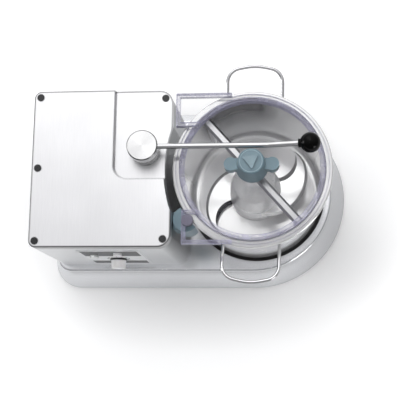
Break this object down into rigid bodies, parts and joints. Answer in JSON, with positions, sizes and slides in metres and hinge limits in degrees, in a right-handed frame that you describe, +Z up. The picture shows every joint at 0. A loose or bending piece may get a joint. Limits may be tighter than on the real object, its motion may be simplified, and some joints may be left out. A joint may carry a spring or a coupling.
{
  "type": "cutter mixer",
  "caption": "Table-top bowl cutter: motor tower and round steel bowl on one flared base, clear lid barred by a swinging lever, sickle blades and a hand-turned scraper.",
  "frame": {"origin": "middle of the base on the table, level with the soles of the feet", "axes": "+X along the base from the motor tower to the bowl, +Y to the back, away from the control panel, +Z up"},
  "size_m": [0.5012, 0.34, 0.3066],
  "materials": {
    "cast_aluminium": "satin cast and polished",
    "housing_steel": "fine satin",
    "cover_steel": "fine satin",
    "polished_steel": "polished",
    "bowl_steel": "satin turned",
    "turned_steel": "turned face",
    "blade_steel": "ground and polished",
    "clear_plastic": "clear with a violet tint",
    "blue_grey_plastic": "satin",
    "white_plastic": "satin",
    "black_plastic": "glossy",
    "cap_plastic": "satin",
    "panel_film": "satin with darker fields",
    "knob_plastic": "satin",
    "green_button": "satin",
    "red_button": "satin",
    "grey_plastic": "satin",
    "black_rubber": "matt",
    "clear_rubber": "matt",
    "bearing_steel": "satin",
    "motor_paint": "satin",
    "lamination_steel": "dull",
    "circuit_board": "satin",
    "screw_steel": "satin"
  },
  "bodies": {
    "base": {"base_casting": "cast_aluminium", "base_plate": "screw_steel", "rubber_feet": "black_rubber", "foot_screws": "screw_steel", "motor_housing": "housing_steel", "top_cover": "cover_steel", "cover_screws": "screw_steel", "screw_caps": "cap_plastic", "lever_stud": "screw_steel", "lever_washer": "white_plastic", "seat_ring": "black_rubber", "spindle_housing": "cast_aluminium", "spindle_screws": "screw_steel", "spindle_bearings": "bearing_steel", "shaft_seal": "black_rubber", "motor_frame": "motor_paint", "motor_stator": "lamination_steel", "motor_shields": "cast_aluminium", "motor_tie_bolts": "screw_steel", "drive_belt": "black_rubber", "control_panel": "panel_film", "speed_potentiometer": "grey_plastic", "control_board": "circuit_board", "lid_locator": "blue_grey_plastic", "cable_gland": "grey_plastic", "gland_nut": "grey_plastic", "lid_switch": "grey_plastic"},
    "lever": {"lever_head": "turned_steel", "lever_rod": "polished_steel", "ball_knob": "black_plastic"},
    "bowl": {"bowl": "bowl_steel", "bowl_floor": "bowl_steel", "bowl_handles": "polished_steel"},
    "lid": {"lid": "clear_plastic", "lid_magnet": "screw_steel", "lid_gasket": "clear_rubber", "lid_bush": "white_plastic"},
    "scraper": {"scraper_knob": "blue_grey_plastic", "knob_pointer": "blue_grey_plastic", "scraper_shaft": "screw_steel", "scraper_bar": "polished_steel", "wall_scrapers": "white_plastic"},
    "spindle": {"drive_shaft": "bearing_steel", "driven_pulley": "cast_aluminium", "pulley_nut": "screw_steel"},
    "cutter": {"cutter_sleeve": "white_plastic", "blade_spacer": "white_plastic", "cutter_cap": "white_plastic", "lower_blade": "blade_steel", "upper_blade": "blade_steel"},
    "motor_rotor": {"motor_shaft": "bearing_steel", "motor_rotor": "lamination_steel", "motor_pulley": "cast_aluminium", "motor_fan": "grey_plastic"},
    "speed_knob": {"speed_knob": "knob_plastic", "knob_spindle": "screw_steel"},
    "start_button": {"start_button": "green_button"},
    "stop_button": {"stop_button": "red_button"}
  },
  "joints": [
    {"name": "lever_swing", "type": "hinge", "parent": "base", "child": "lever", "pos_m": [-0.05865, 0.0263, 0.281], "axis": [0, 0, 1], "range_deg": [0, 120]},
    {"name": "bowl_lift", "type": "slide", "parent": "base", "child": "bowl", "axis": [0, 0, 1], "range_m": [0, 0.0127]},
    {"name": "lid_lift", "type": "slide", "parent": "bowl", "child": "lid", "axis": [0, 0, 1], "range_m": [0, 0.0189]},
    {"name": "scraper_turn", "type": "hinge", "parent": "lid", "child": "scraper", "pos_m": [0.10115, 0, 0.2485], "axis": [0, 0, 1], "continuous": true},
    {"name": "motor_spin", "type": "hinge", "parent": "base", "child": "motor_rotor", "pos_m": [-0.12215, 0, 0.064], "axis": [0, 0, 1], "continuous": true},
    {"name": "spindle_spin", "type": "hinge", "parent": "base", "child": "spindle", "pos_m": [0.10115, 0, 0.06], "axis": [0, 0, 1], "continuous": true},
    {"name": "cutter_lift", "type": "slide", "parent": "spindle", "child": "cutter", "axis": [0, 0, 1], "range_m": [0, 0.0148]},
    {"name": "speed_knob_turn", "type": "hinge", "parent": "base", "child": "speed_knob", "pos_m": [-0.115, -0.1205, 0.146], "axis": [0, -1, 0], "range_deg": [-135, 135]},
    {"name": "start_button_press", "type": "slide", "parent": "base", "child": "start_button", "axis": [0, 1, 0], "range_m": [0, 0.0025], "stiffness_N_per_m": 400},
    {"name": "stop_button_press", "type": "slide", "parent": "base", "child": "stop_button", "axis": [0, 1, 0], "range_m": [0, 0.0025], "stiffness_N_per_m": 400}
  ],
  "couplings": [
    {"joint": "bowl_lift", "follows": "lever_swing", "m_per_rad": 0.006},
    {"joint": "lid_lift", "follows": "lever_swing", "m_per_rad": 0.009},
    {"joint": "cutter_lift", "follows": "lever_swing", "m_per_rad": 0.007},
    {"joint": "spindle_spin", "follows": "motor_spin", "ratio": 0.625}
  ]
}
